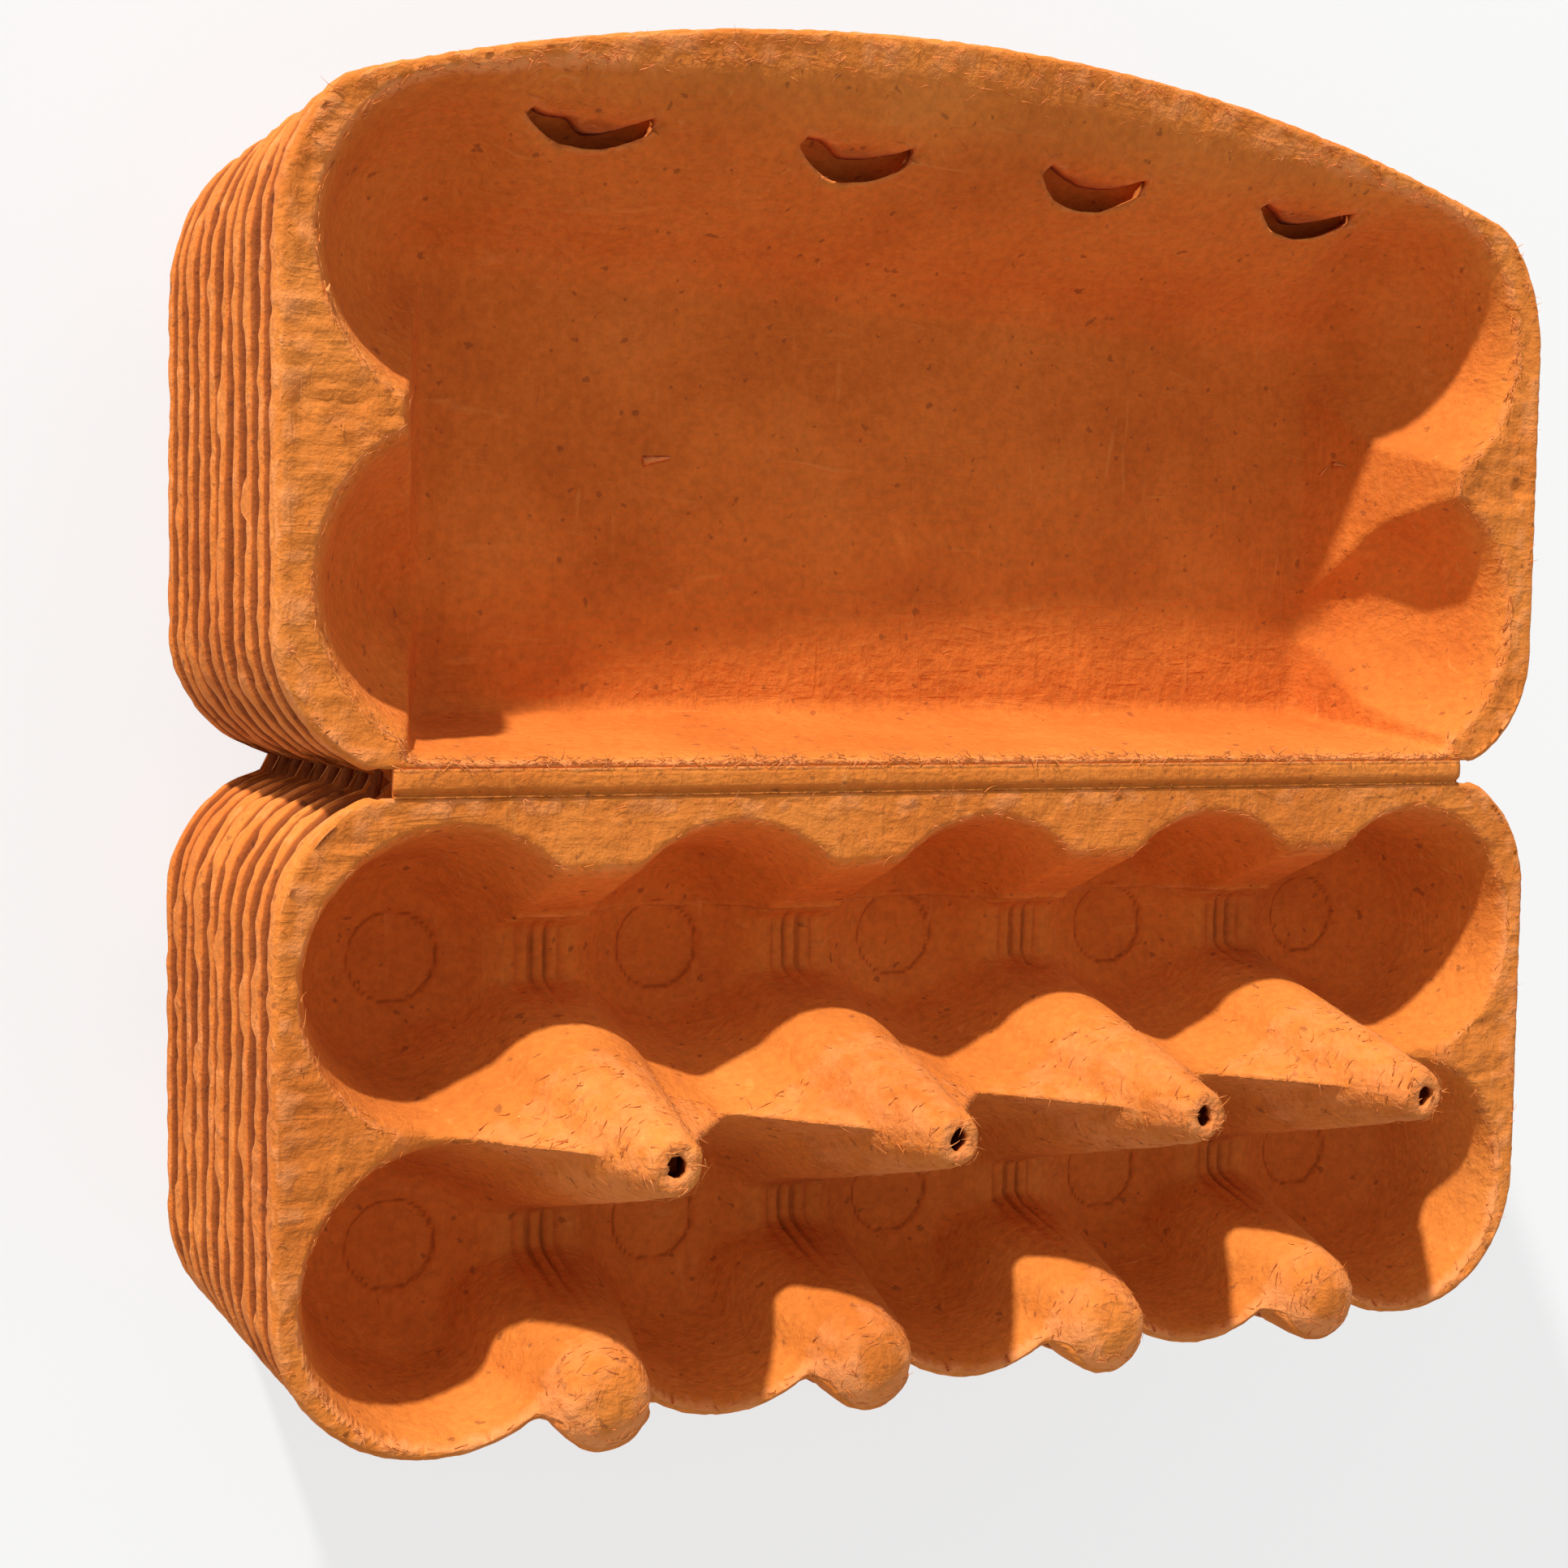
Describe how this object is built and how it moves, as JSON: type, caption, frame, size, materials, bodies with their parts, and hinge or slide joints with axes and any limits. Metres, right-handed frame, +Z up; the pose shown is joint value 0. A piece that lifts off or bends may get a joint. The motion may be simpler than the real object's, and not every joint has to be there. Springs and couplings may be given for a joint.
{
  "type": "stack of egg cartons",
  "caption": "Stack of nested moulded-pulp egg cartons lying open flat, with egg cups and hollow posts on the front half and shallow bowed lids with lock slits on the back half.",
  "frame": {"origin": "middle of the stack's footprint, on the surface that it stands on", "axes": "+X along the hinge, +Y from the egg cups towards the open lids, +Z up"},
  "size_m": [0.246, 0.227, 0.1352],
  "materials": {
    "pulp": "matt, slightly fuzzy moulded pulp"
  },
  "bodies": {
    "stack": {"top_base": "pulp", "carton_02": "pulp", "carton_03": "pulp", "carton_04": "pulp", "carton_05": "pulp", "carton_06": "pulp", "carton_07": "pulp", "carton_08": "pulp", "carton_09": "pulp", "carton_10": "pulp"},
    "lid": {"top_lid": "pulp"}
  },
  "joints": [
    {"name": "lid_fold", "type": "hinge", "parent": "stack", "child": "lid", "pos_m": [0, -0.0085, 0.10535], "axis": [1, 0, 0], "range_deg": [0, 180]}
  ]
}
